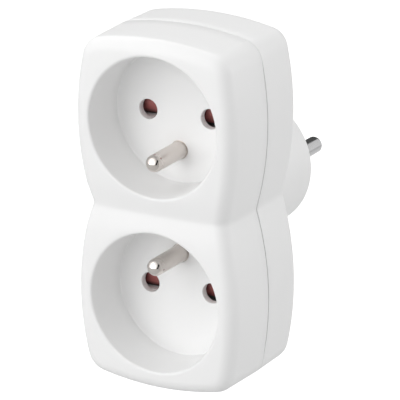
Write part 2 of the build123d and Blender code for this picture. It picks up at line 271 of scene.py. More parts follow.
class PlugSizes(bpy.types.PropertyGroup):
    """Round plug on the back and the pins"""

    radius: FloatProperty(name="Plug Radius", default=0.0188, unit="LENGTH",
                          description="Radius of the round plug")
    length: FloatProperty(name="Plug Length", default=0.017, unit="LENGTH",
                          description="From the back to the plug's end face")
    edge_round: FloatProperty(name="Plug Edge", default=0.001, unit="LENGTH",
                              description="Radius of the plug's end edge")
    rise: FloatProperty(name="Plug Rise", default=0.0008, unit="LENGTH",
                        description="Plug's axis above the middle of the sockets")
    pin: FloatProperty(name="Pin Radius", default=0.0024, unit="LENGTH",
                       description="Radius of a plug or earth pin")
    pin_tip: FloatProperty(name="Pin Tip", default=0.0013, unit="LENGTH",
                           description="Radius of a plug pin's tip edge")
    pin_root: FloatProperty(name="Pin Root", default=0.0027, unit="LENGTH",
                            description="Radius of a plug pin inside the plug")
    sleeve: FloatProperty(name="Sleeve", default=0.0033, unit="LENGTH",
                          description="Outer radius of the earth sleeve")
    clearance: FloatProperty(name="Clearance", default=0.00005, unit="LENGTH",
                             description="Gap round a seated pin")
    screw_spread: FloatProperty(name="Screw Spread", default=0.034, unit="LENGTH",
                                description="Between the screws, across")
    screw_height: FloatProperty(name="Screw Height", default=0.0836, unit="LENGTH",
                                description="Between the screws, upright")
    screw_hole: FloatProperty(name="Screw Hole", default=0.00265, unit="LENGTH",
                              description="Radius of a screw's tube")
    screw_depth: FloatProperty(name="Screw Depth", default=0.009, unit="LENGTH",
                               description="Depth of a screw's tube")


class Finish(bpy.types.PropertyGroup):
    """Colours and sheen of the materials"""

    shell: FloatVectorProperty(name="Shell", default=(0.90, 0.90, 0.898), size=3, subtype="COLOR",
                               min=0, max=1, description="White housing plastic")
    shell_sheen: FloatProperty(name="Shell Roughness", default=0.45, subtype="FACTOR", min=0, max=1,
                               description="Roughness of the housing")
    shutter: FloatVectorProperty(name="Shutter", default=(0.42, 0.135, 0.128), size=3, subtype="COLOR",
                                 min=0, max=1, description="Dark red shutter plastic")
    cover: FloatVectorProperty(name="Cover", default=(0.30, 0.30, 0.29), size=3, subtype="COLOR",
                               min=0, max=1, description="Grey cover plastic")
    nickel: FloatVectorProperty(name="Nickel", default=(0.70, 0.655, 0.62), size=3, subtype="COLOR",
                                min=0, max=1, description="Plating of the earth pins")
    pin: FloatVectorProperty(name="Plug Pin", default=(0.86, 0.86, 0.865), size=3, subtype="COLOR",
                             min=0, max=1, description="Metal of the plug pins")
    brass: FloatVectorProperty(name="Brass", default=(0.72, 0.52, 0.24), size=3, subtype="COLOR",
                               min=0, max=1, description="Conductors inside")
    steel: FloatVectorProperty(name="Steel", default=(0.55, 0.55, 0.56), size=3, subtype="COLOR",
                               min=0, max=1, description="Springs and screws")


class Studio(bpy.types.PropertyGroup):
    """Camera, lights and floor"""

    lens: FloatProperty(name="Lens", default=443.89, unit="CAMERA", min=1,
                        description="Focal length on a 36 mm film")
    azimuth: FloatProperty(name="Azimuth", default=math.radians(30.1405), subtype="ANGLE",
                           description="Camera's turn to the right of the front")
    elevation: FloatProperty(name="Elevation", default=math.radians(18.836), subtype="ANGLE",
                             description="Camera's rise over the level")
    roll: FloatProperty(name="Roll", default=math.radians(-0.5547), subtype="ANGLE",
                        description="Camera's roll")
    distance: FloatProperty(name="Distance", default=1.3106, unit="LENGTH",
                            description="From the camera to the wells' rims")
    shift: FloatVectorProperty(name="Shift", default=(-0.012709, -0.004553), size=2, unit="LENGTH",
                               description="Where the rims' middle lies beside the view's axis")
    rim_level: FloatProperty(name="Rim Level", default=0.0543, unit="LENGTH",
                             description="From the plug's end face to the wells' rims")
    sky: FloatProperty(name="Sky", default=0.59, min=0,
                       description="Strength of the light from all round")
    softbox: FloatProperty(name="Soft Box", default=0.8, min=0,
                           description="Added strength of the large light seen in reflections")
    key: FloatProperty(name="Key", default=5.1, unit="POWER", min=0,
                       description="Power of the light at the upper left")
    left: FloatProperty(name="Left", default=4.9, unit="POWER", min=0,
                        description="Power of the light at the left")
    front: FloatProperty(name="Front", default=2.9, unit="POWER", min=0,
                         description="Power of the light before the front")
    top: FloatProperty(name="Top", default=3.05, unit="POWER", min=0,
                       description="Power of the light above the back")
    back: FloatProperty(name="Back", default=4.4, unit="POWER", min=0,
                        description="Power of the light behind the top left")
    side: FloatProperty(name="Side", default=5.4, unit="POWER", min=0,
                        description="Power of the light behind the right side")
    floor_drop: FloatProperty(name="Floor Drop", default=0.45, unit="LENGTH",
                              description="From the plug's axis down to the floor")
    # Painted light: a glowing pool on the floor behind the object
    floor_glow: FloatProperty(name="Floor Glow", default=0.78, min=0,
                              description="Light of the floor behind the object")


# Mesh helpers: a level is a distance in front of the plug's end face

def share_of(value, low, high):
    """How far a value has come on the way from low to high, from 0 to 1."""
    return min(max((value - low) / (high - low), 0), 1)


def arc(bm, vert, centre, axis, turn, steps):
    """Carries a vertex round a place, leaving an edge at each step. Returns the last vertex."""
    made = bmesh.ops.spin(bm, geom=[vert], cent=centre, axis=axis, dvec=NO_SLIDE, angle=turn, steps=steps,
                          use_duplicate=False)
    return next(g for g in made["geom_last"] if isinstance(g, bmesh.types.BMVert))


def run_on(bm, vert, places):
    """Carries a vertex on from place to place, leaving an edge to each. Returns the last vertex."""
    for place in places:
        vert = bmesh.ops.extrude_vert_indiv(bm, verts=[vert])["verts"][0]
        vert.co = place
    return vert


def turn_solid(bm, x, z):
    """Turns an open profile into a closed solid round an axis along the pins."""
    bmesh.ops.spin(bm, geom=bm.verts[:] + bm.edges[:], cent=(x, 0, z), axis=ALONG_PINS, dvec=NO_SLIDE,
                   angle=FULL_TURN, steps=PIN_SIDES, use_merge=True, use_duplicate=False)
    bmesh.ops.remove_doubles(bm, verts=bm.verts, dist=SAME_PLACE)
    bmesh.ops.recalc_face_normals(bm, faces=bm.faces)


def bearing(direction):
    """Clock angle of a direction, from straight up towards the right."""
    return math.atan2(direction.x, direction.y)


def lobe_arcs(body, socket, reach):
    """Centre, turn and steps of the end, corner and side arc of a lobe's right half, and of the waist."""
    end = Vector((0, reach - body.end_bow))
    side = Vector((body.width / 2 - body.side_bow, socket.pitch / 2))
    pair = intersect_sphere_sphere_2d(end, body.end_bow - body.corner, side, body.side_bow - body.corner)
    corner = max(pair, key=lambda p: p.y)
    waist = Vector((side.x + math.sqrt((body.side_bow + body.waist) ** 2 - side.y**2), 0))
    first = bearing(corner - end)
    second = bearing(corner - side)
    last = bearing(waist - side)
    lobe = [(end, first, END_STEPS), (corner, second - first, CORNER_STEPS)]
    lobe += [(side, last - second, SIDE_STEPS)]
    return lobe, (waist, 2 * (-QUARTER_TURN - bearing(side - waist)), WAIST_STEPS)


def outline_arcs(body, socket):
    """The arcs of the whole outline, clockwise from the top."""
    upper, waist = lobe_arcs(body, socket, body.upper_reach)
    lower, waist = lobe_arcs(body, socket, body.lower_reach)
    down = [(Vector((c.x, -c.y)), turn, steps) for c, turn, steps in reversed(lower)]
    right = upper + [waist] + down
    left = [(Vector((-c.x, c.y)), turn, steps) for c, turn, steps in reversed(right)]
    return right + left


def outline_ring(bm, body, socket, inset, level):
    """A closed ring round the body at a level, drawn in by an inset. Returns each vertex's way inward."""
    first = last = bm.verts.new((0, -level, body.upper_reach - inset))
    inward = {first: -UPRIGHT}
    for centre, turn, steps in outline_arcs(body, socket):
        count = len(bm.verts)
        last = arc(bm, last, (centre.x, -level, centre.y), ALONG_PINS, turn, steps)
        bm.verts.ensure_lookup_table()
        for v in bm.verts[count:]:
            way = Vector((centre.x - v.co.x, 0, centre.y - v.co.z)).normalized()
            inward[v] = way if turn > 0 else -way
    del inward[last]
    bmesh.ops.weld_verts(bm, targetmap={last: first})
    return inward


def edges_of(verts):
    """All edges at some vertices, each once and in the same order at each run."""
    return list(dict.fromkeys(e for v in verts for e in v.link_edges))


def grow(bm, edges):
    """Extrudes edges in place. Returns the new vertices and the new edges along them."""
    made = bmesh.ops.extrude_edge_only(bm, edges=edges)["geom"]
    verts = {g for g in made if isinstance(g, bmesh.types.BMVert)}
    return verts, [g for g in made if isinstance(g, bmesh.types.BMEdge) and verts.issuperset(g.verts)]


def stack_rings(bm, body, socket, places):
    """Walls from ring to ring, given as (inset, level). Returns the first and the last ring's edges."""
    inset, level = places[0]
    inward = outline_ring(bm, body, socket, inset, level)
    first = edges = edges_of(inward)
    for next_inset, level in places[1:]:
        verts, edges = grow(bm, edges)
        onward = {}
        for v in verts:
            onward[v] = next(inward[o] for o in (e.other_vert(v) for e in v.link_edges) if o in inward)
            v.co += onward[v] * (next_inset - inset)
            v.co.y = -level
        inset, inward = next_inset, onward
    return first, edges


def circle(bm, x, z, radius, level, sides):
    """A ring of edges round an axis along the pins."""
    place = Matrix.Translation((x, -level, z)) @ Matrix.Rotation(QUARTER_TURN, 4, "X")
    made = bmesh.ops.create_circle(bm, cap_ends=False, segments=sides, radius=radius, matrix=place)
    return edges_of(made["verts"])


def pull(bm, edges, x, z, steps):
    """Extrudes a circle of edges step by step to new (radius, level) places. Returns the last edges."""
    for radius, level in steps:
        verts, edges = grow(bm, edges)
        for v in verts:
            away = Vector((v.co.x - x, 0, v.co.z - z)).normalized() * radius
            v.co = (x + away.x, -level, z + away.z)
    return edges


def quarter(radius, steps):
    """Sideways and forward parts of a quarter round, step by step."""
    turns = [QUARTER_TURN * (i + 1) / steps for i in range(steps)]
    return [(radius * (1 - math.cos(t)), radius * math.sin(t)) for t in turns]


def outer_wall(body, seam, edge, start, draft, radius, steps):
    """Rings from the seam's depth over its edge, along the leaning side wall and round the outer edge."""
    way = math.copysign(1, start - edge)
    middle = SEAM_MIDDLE * body.seam_round
    foot = edge + way * body.seam_round
    rings = [(body.tongue_inset, edge), (body.seam_round, edge), (middle, edge + way * middle), (0, foot)]
    for share in WALL_SHARES:
        level = foot + (start - foot) * share
        rings.append((math.tan(draft) * abs(level - seam), level))
    inset = rings[-1][0]
    return rings + [(inset + side, start + way * out) for side, out in quarter(radius, steps)]


def box_between(bm, low, high):
    """A plain block between two corners."""
    low, high = Vector(low), Vector(high)
    place = Matrix.Translation((low + high) / 2) @ Matrix.Diagonal((high - low).to_4d())
    bmesh.ops.create_cube(bm, size=1, matrix=place)


def copy_of(node):
    """A mesh like a CAD node's, with its loose triangles joined."""
    bm = bmesh.new()
    bm.from_mesh(frame["nodes"][node].data)
    bmesh.ops.remove_doubles(bm, verts=bm.verts, dist=SAME_PLACE)
    return bm


def piece(name, bm, body, finish, nodes):
    """Makes an object of a finished mesh, shades it, and lets it ride and stand for CAD nodes."""
    mesh = bpy.data.meshes.new(name)
    bm.to_mesh(mesh)
    bm.free()
    mesh.shade_smooth()
    mesh.set_sharp_from_angle(angle=SHARP)
    mesh.materials.append(finish)
    thing = bpy.data.objects.new(name, mesh)
    bpy.context.scene.collection.objects.link(thing)
    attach(thing, body)
    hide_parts(*nodes)
    return thing


def cut(bm, cutter):
    """The mesh without the space of a cutter mesh."""
    things = []
    for name, source in (("cut_from", bm), ("cutter", cutter)):
        mesh = bpy.data.meshes.new(name)
        source.to_mesh(mesh)
        source.free()
        things.append(bpy.data.objects.new(name, mesh))
        bpy.context.scene.collection.objects.link(things[-1])
    boolean = things[0].modifiers.new("Cut", "BOOLEAN")
    boolean.operation = "DIFFERENCE"
    boolean.solver = "EXACT"
    boolean.object = things[1]
    graph = bpy.context.evaluated_depsgraph_get()
    result = bmesh.new()
    result.from_mesh(things[0].evaluated_get(graph).to_mesh())
    for thing in things:
        mesh = thing.data
        bpy.data.objects.remove(thing)
        bpy.data.meshes.remove(mesh)
    return result


# Materials, kept under the names that the operators use

finishes = {}


def shader(name, colour, roughness, metallic=0.0):
    """A new material with its shader set. Returns the material, its node tree and the shader."""
    material = bpy.data.materials.new(name)
    material.use_nodes = True
    tree = material.node_tree
    bsdf = tree.nodes["Principled BSDF"]
    bsdf.inputs["Base Color"].default_value = (*colour, 1)
    bsdf.inputs["Roughness"].default_value = roughness
    bsdf.inputs["Metallic"].default_value = metallic
    material.diffuse_color = (*colour, 1)
    return material, tree, bsdf


def noise(tree, scale, detail, stretch=(1, 1, 1)):
    """A noise pattern on the piece's own coordinates."""
    place = tree.nodes.new("ShaderNodeTexCoord")
    mapping = tree.nodes.new("ShaderNodeMapping")
    mapping.inputs["Scale"].default_value = stretch
    pattern = tree.nodes.new("ShaderNodeTexNoise")
    pattern.inputs["Scale"].default_value = scale
    pattern.inputs["Detail"].default_value = detail
    tree.links.new(place.outputs["Object"], mapping.inputs["Vector"])
    tree.links.new(mapping.outputs["Vector"], pattern.inputs["Vector"])
    return pattern.outputs["Fac"]


def spread(tree, value, target, source=(0, 1), soft=False):
    """Maps a value from a source range to a target range, which it doesn't leave."""
    node = tree.nodes.new("ShaderNodeMapRange")
    if soft:
        node.interpolation_type = "SMOOTHSTEP"
    for name, number in zip(("From Min", "From Max", "To Min", "To Max"), (*source, *target)):
        node.inputs[name].default_value = number
    tree.links.new(value, node.inputs["Value"])
    return node.outputs["Result"]


def calculate(tree, operation, first, second=0.0):
    """A sum, product or the like of a value and a number or another value."""
    node = tree.nodes.new("ShaderNodeMath")
    node.operation = operation
    tree.links.new(first, node.inputs[0])
    if isinstance(second, bpy.types.NodeSocket):
        tree.links.new(second, node.inputs[1])
    else:
        node.inputs[1].default_value = second
    return node.outputs["Value"]


def toward(tree, way):
    """How nearly a ray of the sky goes a way: 1 along it, 0 across it."""
    ray = tree.nodes.new("ShaderNodeTexCoord")
    node = tree.nodes.new("ShaderNodeVectorMath")
    node.operation = "DOT_PRODUCT"
    node.inputs[1].default_value = way
    tree.links.new(ray.outputs["Generated"], node.inputs[0])
    return node.outputs["Value"]


def bump(tree, bsdf, height, depth, strength):
    """Raises a pattern on the surface."""
    node = tree.nodes.new("ShaderNodeBump")
    node.inputs["Strength"].default_value = strength
    node.inputs["Distance"].default_value = depth
    tree.links.new(height, node.inputs["Height"])
    tree.links.new(node.outputs["Normal"], bsdf.inputs["Normal"])


def tint(tree, bsdf, value, colour, change):
    """Varies the base colour a little along a pattern."""
    blend = tree.nodes.new("ShaderNodeMix")
    blend.data_type = "RGBA"
    blend.inputs["A"].default_value = (*[c * (1 - change) for c in colour], 1)
    blend.inputs["B"].default_value = (*[min(c * (1 + change), 1) for c in colour], 1)
    tree.links.new(value, blend.inputs["Factor"])
    tree.links.new(blend.outputs["Result"], bsdf.inputs["Base Color"])


def sheen(tree, bsdf, value, smooth, rough):
    """Varies the roughness along a pattern."""
    tree.links.new(spread(tree, value, (smooth, rough)), bsdf.inputs["Roughness"])


def shell_plastic(finish):
    """Satin white moulded plastic with a faint spark-eroded grain, and shade painted into its corners."""
    material, tree, bsdf = shader("white_shell_plastic", finish.shell, finish.shell_sheen)
    tint(tree, bsdf, noise(tree, scale=90, detail=3), finish.shell, change=0.006)
    grain = noise(tree, scale=2600, detail=2)
    sheen(tree, bsdf, grain, smooth=finish.shell_sheen - 0.05, rough=finish.shell_sheen + 0.05)
    bump(tree, bsdf, grain, depth=0.00002, strength=0.12)
    bsdf.inputs["IOR"].default_value = 1.49
    # Painted shade: darker in the wells' corners, round the pins and in the seam, where other surfaces stand
    # close
    paint_corner_shade(material, reach=0.0045, dark=0.86)
    return material


def moulded_plastic(name, colour, roughness):
    """Plain coloured plastic with a fine grain."""
    material, tree, bsdf = shader(name, colour, roughness)
    grain = noise(tree, scale=1800, detail=2)
    tint(tree, bsdf, grain, colour, change=0.08)
    bump(tree, bsdf, grain, depth=0.00003, strength=0.2)
    return material


def plated_metal(name, colour, roughness):
    """Turned and plated metal with fine marks round its axis."""
    material, tree, bsdf = shader(name, colour, roughness, metallic=1.0)
    marks = noise(tree, scale=900, detail=2, stretch=(0.15, 1, 0.15))
    sheen(tree, bsdf, marks, smooth=roughness - 0.05, rough=roughness + 0.07)
    tint(tree, bsdf, noise(tree, scale=320, detail=3), colour, change=0.04)
    bump(tree, bsdf, marks, depth=0.00001, strength=0.1)
    return material


def sheet_metal(name, colour, roughness):
    """Stamped or drawn metal with cloudy sheen."""
    material, tree, bsdf = shader(name, colour, roughness, metallic=1.0)
    clouds = noise(tree, scale=420, detail=4)
    sheen(tree, bsdf, clouds, smooth=roughness - 0.08, rough=roughness + 0.1)
    tint(tree, bsdf, clouds, colour, change=0.08)
    return material


def polish_beyond(material, level, width, roughness):
    """Makes a metal smoother where it lies further forward than a level."""
    tree = material.node_tree
    bsdf = tree.nodes["Principled BSDF"]
    dull = bsdf.inputs["Roughness"].links[0].from_socket
    place = tree.nodes.new("ShaderNodeTexCoord")
    parts = tree.nodes.new("ShaderNodeSeparateXYZ")
    blend = tree.nodes.new("ShaderNodeMix")
    blend.inputs["B"].default_value = roughness
    tree.links.new(place.outputs["Object"], parts.inputs["Vector"])
    tree.links.new(spread(tree, parts.outputs["Y"], (0, 1), (-level, -level - width)), blend.inputs["Factor"])
    tree.links.new(dull, blend.inputs["A"])
    tree.links.new(blend.outputs["Result"], bsdf.inputs["Roughness"])


def paint_corner_shade(material, reach, dark, shut=0.0):
    """Paints shade into a material's colour where other surfaces stand close, fully where less than a share
    is open.
    """
    tree = material.node_tree
    bsdf = tree.nodes["Principled BSDF"]
    plain = bsdf.inputs["Base Color"].links[0].from_socket
    opening = tree.nodes.new("ShaderNodeAmbientOcclusion")
    opening.samples = 16
    opening.inputs["Distance"].default_value = reach
    blend = tree.nodes.new("ShaderNodeMix")
    blend.data_type = "RGBA"
    blend.blend_type = "MULTIPLY"
    blend.inputs["Factor"].default_value = 1
    tree.links.new(plain, blend.inputs["A"])
    tree.links.new(spread(tree, opening.outputs["AO"], (dark, 1), (shut, 1)), blend.inputs["B"])
    tree.links.new(blend.outputs["Result"], bsdf.inputs["Base Color"])


def dress(node, finish):
    """Gives a CAD node a finish."""
    mesh = frame["nodes"][node].data
    mesh.materials.clear()
    mesh.materials.append(finish)


# Operators, one for the finishes and one for each piece or group of like pieces

class ADAPTER_OT_finishes(bpy.types.Operator):
    """Materials of all pieces, which the other steps need"""

    bl_idname = "adapter.finishes"
    bl_label = "Finishes"

    def execute(self, context):
        scene = context.scene
        finish, body, plug = scene.adapter_finish, scene.adapter_body, scene.adapter_plug
        finishes["shell"] = shell_plastic(finish)
        finishes["shutter"] = moulded_plastic("dark_red_plastic", finish.shutter, roughness=0.4)
        # Painted shade: a dark edge round each shutter where the floor's holes stand close over it
        paint_corner_shade(finishes["shutter"], reach=0.0016, dark=0, shut=0.2593)
        finishes["cover"] = moulded_plastic("grey_plastic", finish.cover, roughness=0.5)
        finishes["nickel"] = plated_metal("nickel_plate", finish.nickel, roughness=0.34)
        tip = plug.length + body.depth - plug.pin
        polish_beyond(finishes["nickel"], level=tip - plug.pin / 4, width=plug.pin / 2, roughness=0.1)
        finishes["pin"] = plated_metal("turned_pin", finish.pin, roughness=0.14)
        finishes["brass"] = sheet_metal("stamped_brass", finish.brass, roughness=0.35)
        finishes["steel"] = sheet_metal("bright_steel", finish.steel, roughness=0.3)
        return {"FINISHED"}


class ADAPTER_OT_front_housing(bpy.types.Operator):
    """Front housing with both socket wells"""

    bl_idname = "adapter.front_housing"
    bl_label = "Front Housing"

    def profile(self, body):
        """Insets and levels of the rings from the inside round the seam to the flat of the front."""
        tongue = self.seam + body.tongue_height
        lean = math.tan(body.front_draft) * (self.level - self.seam)
        rings = [(body.wall + lean, self.ceiling), (body.wall, tongue), (body.tongue_inset, tongue)]
        lip = self.seam + body.seam_gap
        return rings + outer_wall(body, self.seam, lip, self.start, body.front_draft, body.front_round,
                                  FRONT_STEPS)

    def close_seam(self, bm, body):
        """Brings the lip of the front down to the rear housing at the top and the bottom."""
        lip = self.seam + body.seam_gap + 2 * body.seam_round
        closed = body.upper_reach - body.corner
        for v in bm.verts:
            if self.seam < -v.co.y < lip:
                share = share_of(abs(v.co.z), closed - body.seam_fade, closed)
                v.co.y += share * body.seam_gap * SEAM_CLOSED

    def crown(self, bm, body, socket, inside):
        """Bends the flat front over the two domes and the valley between them, without the inside."""
        for v in set(bm.verts) - inside:
            share = share_of(-v.co.y, self.seam + body.tongue_height, self.start)
            v.co.y += share * self.drop(body, socket, v.co.x, v.co.z)

    def drop(self, body, socket, x, z):
        """How far the front lies behind its highest level at a place."""
        away = math.hypot(z, body.valley) - socket.pitch / 2
        return body.dome - math.sqrt(body.dome**2 - x**2 - away**2) + self.groove(body, z)

    def groove(self, body, z):
        """How much deeper the valley's slopes lie than the domes."""
        inside = body.valley_reach - math.hypot(z, body.valley)
        slope = math.tan(body.valley_slope)
        return slope * (inside + math.hypot(inside, body.valley_reach * VALLEY_EASE)) / 2

    def cap(self, bm, socket, edges):
        """Closes the front with an upper and a lower field round the wells. Returns the two inner faces."""
        mouth = socket.well + socket.rim_round
        whole = bmesh.ops.contextual_create(bm, geom=edges)["faces"][0]
        ends = sorted(whole.verts, key=lambda v: abs(v.co.z))[:2]
        bridge = bmesh.ops.connect_verts(bm, verts=ends)["edges"]
        bmesh.ops.subdivide_edges(bm, edges=bridge, cuts=VALLEY_CUTS)
        # Every other face has four corners
        fields = [f for f in bm.faces if len(f.verts) > 4]
        inner = []
        for field in fields:
            z = math.copysign(socket.pitch / 2, field.calc_center_median().z)
            for share in FIELD_SHARES:
                field = bmesh.ops.extrude_discrete_faces(bm, faces=[field])["faces"][0]
                for v in field.verts:
                    spoke = Vector((v.co.x, 0, v.co.z - z))
                    v.co += spoke.normalized() * (mouth - spoke.length) * share
            inner.append(field)
        return inner

    def well(self, bm, body, socket, field):
        """Rolls a field's inner face over the rim and down to the floor. Returns the floor's edges."""
        z = math.copysign(socket.pitch / 2, field.calc_center_median().z)
        rim = self.level - self.drop(body, socket, socket.well + socket.rim_round, z)
        shoulder = rim - socket.rim_round
        foot = self.level - socket.well_depth + socket.floor_round
        rolled = quarter(socket.rim_round, RIM_STEPS)[:-1]
        steps = [(socket.well + side, shoulder + up) for side, up in reversed(rolled)]
        steps += [(socket.well, shoulder)]
        for share in WELL_SHARES:
            radius = socket.well + (socket.well_floor - socket.well) * share
            steps.append((radius, shoulder + (foot - shoulder) * share))
        hollow = quarter(socket.floor_round, FLOOR_STEPS)
        steps += [(socket.well_floor - side, foot - down) for side, down in hollow]
        edges = list(field.edges)
        bmesh.ops.delete(bm, geom=[field], context="FACES_ONLY")
        known = set(bm.verts)
        last = pull(bm, edges, 0, z, steps)
        for v in set(bm.verts) - known:
            v.co.y += share_of(-v.co.y, foot, rim) * self.groove(body, v.co.z)
        return last

    def floor(self, bm, socket, edges, side):
        """Lays a well's floor with its holes, and the wall behind it. Returns the wall's last edges."""
        z = side * socket.pitch / 2
        top = self.level - socket.well_depth
        back = top - socket.floor_thickness
        places = [(-socket.spacing / 2, z, socket.hole), (socket.spacing / 2, z, socket.hole)]
        places += [(0, z - side * socket.earth_offset, socket.earth_seat)]
        holes = []
        ends = []
        for x, hole_z, radius in places:
            edge = radius + socket.hole_round
            ring = circle(bm, x, hole_z, edge, top, HOLE_SIDES)
            holes += ring
            steps = [(edge - inward, top - down) for down, inward in quarter(socket.hole_round, HOLE_STEPS)]
            ends += pull(bm, ring, x, hole_z, steps + [(radius, back)])
        bmesh.ops.triangle_fill(bm, edges=edges + holes, use_beauty=True, normal=-ALONG_PINS)
        wall = socket.well + socket.well_wall
        rim = circle(bm, 0, z, wall, back, WELL_SIDES)
        bmesh.ops.triangle_fill(bm, edges=ends + rim, use_beauty=True, normal=ALONG_PINS)
        return pull(bm, rim, 0, z, [(wall, self.ceiling)])

    def stop(self, bm, socket, side):
        """The rib behind a well's floor on which the shutter comes to rest."""
        back = self.level - socket.well_depth - socket.floor_thickness
        top = side * socket.pitch / 2 - socket.stop_drop
        middle = -socket.spacing / 2
        box_between(bm, (middle - socket.stop_width / 2, -back, top - socket.stop_height),
                    (middle + socket.stop_width / 2, socket.stop_depth - back, top))

    def execute(self, context):
        scene = context.scene
        body, socket, plug = scene.adapter_body, scene.adapter_socket, scene.adapter_plug
        self.level = plug.length + body.depth
        self.seam = plug.length + body.rear_depth
        self.start = self.level - body.front_round
        self.ceiling = self.level - body.front_wall
        bm = bmesh.new()
        first, last = stack_rings(bm, body, socket, self.profile(body))
        self.close_seam(bm, body)
        fields = self.cap(bm, socket, last)
        self.crown(bm, body, socket, {v for e in first for v in e.verts})
        ceiling = []
        for field in fields:
            side = math.copysign(1, field.calc_center_median().z)
            ceiling += self.floor(bm, socket, self.well(bm, body, socket, field), side)
        bmesh.ops.triangle_fill(bm, edges=first + ceiling, use_beauty=True, normal=ALONG_PINS)
        bmesh.ops.recalc_face_normals(bm, faces=bm.faces)
        for side in (-1, 1):
            self.stop(bm, socket, side)
        bmesh.ops.translate(bm, verts=bm.verts, vec=(0, 0, -plug.rise))
        piece("front_shell", bm, "housing", finishes["shell"], ["front_housing"])
        return {"FINISHED"}


class ADAPTER_OT_rear_housing(bpy.types.Operator):
    """Rear housing with the round plug"""

    bl_idname = "adapter.rear_housing"
    bl_label = "Rear Housing"

    def shell(self, body, socket, plug):
        """The body behind the seam, with its tongue and the screw tubes."""
        seam = plug.length + body.rear_depth
        floor = plug.length + body.back_wall
        tongue = body.tongue_inset + body.tongue_width
        lean = math.tan(body.rear_draft) * (seam - floor)
        rings = [(body.wall + lean, floor), (body.wall, seam), (tongue, seam)]
        rings += [(tongue, seam + body.tongue_height), (body.tongue_inset, seam + body.tongue_height)]
        start = plug.length + body.rear_round
        rings += outer_wall(body, seam, seam, start, body.rear_draft, body.rear_round, REAR_STEPS)
        bm = bmesh.new()
        for edges in stack_rings(bm, body, socket, rings):
            bmesh.ops.contextual_create(bm, geom=edges)
        bmesh.ops.recalc_face_normals(bm, faces=bm.faces)
        return cut(bm, self.screw_tubes(body, plug))

    def screw_tubes(self, body, plug):
        """Four round bars in the places of the screw tubes, for cutting."""
        bm = bmesh.new()
        for x in (-plug.screw_spread / 2, plug.screw_spread / 2):
            for z in (-plug.screw_height / 2, plug.screw_height / 2):
                ring = circle(bm, x, z, plug.screw_hole, plug.length - body.wall, SCREW_SIDES)
                bmesh.ops.contextual_create(bm, geom=ring)
                end = pull(bm, ring, x, z, [(plug.screw_hole, plug.length + plug.screw_depth)])
                bmesh.ops.contextual_create(bm, geom=end)
        bmesh.ops.recalc_face_normals(bm, faces=bm.faces)
        return bm

    def plug(self, body, socket, plug):
        """The round plug, with seats for its pins and the earth sleeve."""
        bm = bmesh.new()
        root = plug.length + body.back_wall * PLUG_SINK
        base = circle(bm, 0, 0, plug.radius, root, PLUG_SIDES)
        bmesh.ops.contextual_create(bm, geom=base)
        steps = [(plug.radius, plug.edge_round)]
        for side, down in quarter(plug.edge_round, PLUG_STEPS):
            steps.append((plug.radius - side, plug.edge_round - down))
        edge = pull(bm, base, 0, 0, steps)
        places = [(-socket.spacing / 2, 0, plug.pin_root), (socket.spacing / 2, 0, plug.pin_root)]
        places += [(0, socket.earth_offset, plug.sleeve)]
        holes = []
        for x, z, radius in places:
            seat = radius + plug.clearance
            ring = circle(bm, x, z, seat, 0, HOLE_SIDES)
            holes += ring
            end = pull(bm, ring, x, z, [(seat, root - body.back_wall)])
            bmesh.ops.contextual_create(bm, geom=end)
        bmesh.ops.triangle_fill(bm, edges=edge + holes, use_beauty=True, normal=ALONG_PINS)
        bmesh.ops.recalc_face_normals(bm, faces=bm.faces)
        return bm

    def execute(self, context):
        scene = context.scene
        body, socket, plug = scene.adapter_body, scene.adapter_socket, scene.adapter_plug
        bm = self.shell(body, socket, plug)
        bmesh.ops.translate(bm, verts=bm.verts, vec=(0, 0, -plug.rise))
        round_plug = self.plug(body, socket, plug)
        joined = bpy.data.meshes.new("round_plug")
        round_plug.to_mesh(joined)
        round_plug.free()
        bm.from_mesh(joined)
        bpy.data.meshes.remove(joined)
        piece("rear_shell", bm, "housing", finishes["shell"], ["rear_housing"])
        return {"FINISHED"}


class ADAPTER_OT_earth_pins(bpy.types.Operator):
    """Round-ended earth pins of both sockets"""

    bl_idname = "adapter.earth_pins"
    bl_label = "Earth Pins"

    def execute(self, context):
        scene = context.scene
        body, socket, plug = scene.adapter_body, scene.adapter_socket, scene.adapter_plug
        collar = socket.earth_sink + socket.well_depth - plug.length - body.depth
        for place, side in (("upper", 1), ("lower", -1)):
            node = f"{place}_earth_pin"
            low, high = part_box(node)
            z = side * (socket.pitch / 2 - socket.earth_offset) - plug.rise
            bm = bmesh.new()
            tip = bm.verts.new((0, low.y, z))
            last = arc(bm, tip, (0, low.y + plug.pin, z), UPRIGHT, QUARTER_TURN, EARTH_TIP_STEPS)
            run_on(bm, last, [(plug.pin, collar, z), (socket.earth_seat, collar, z),
                              (socket.earth_seat, high.y, z), (0, high.y, z)])
            turn_solid(bm, 0, z)
            piece(f"{place}_earth_contact", bm, "housing", finishes["nickel"], [node])
        return {"FINISHED"}


class ADAPTER_OT_plug_pins(bpy.types.Operator):
    """Pins of the plug"""

    bl_idname = "adapter.plug_pins"
    bl_label = "Plug Pins"

    def execute(self, context):
        scene = context.scene
        socket, plug = scene.adapter_socket, scene.adapter_plug
        for pole, side in (("live", 1), ("neutral", -1)):
            node = f"{pole}_plug_pin"
            low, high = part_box(node)
            x = side * socket.spacing / 2
            flat = x + plug.pin - plug.pin_tip
            bm = bmesh.new()
            last = run_on(bm, bm.verts.new((x, high.y, 0)), [(flat, high.y, 0)])
            last = arc(bm, last, (flat, high.y - plug.pin_tip, 0), -UPRIGHT, QUARTER_TURN, PLUG_TIP_STEPS)
            run_on(bm, last, [(x + plug.pin, 0, 0), (x + plug.pin_root, 0, 0),
                              (x + plug.pin_root, low.y, 0), (x, low.y, 0)])
            turn_solid(bm, x, 0)
            piece(f"{pole}_contact_pin", bm, "housing", finishes["pin"], [node])
        return {"FINISHED"}


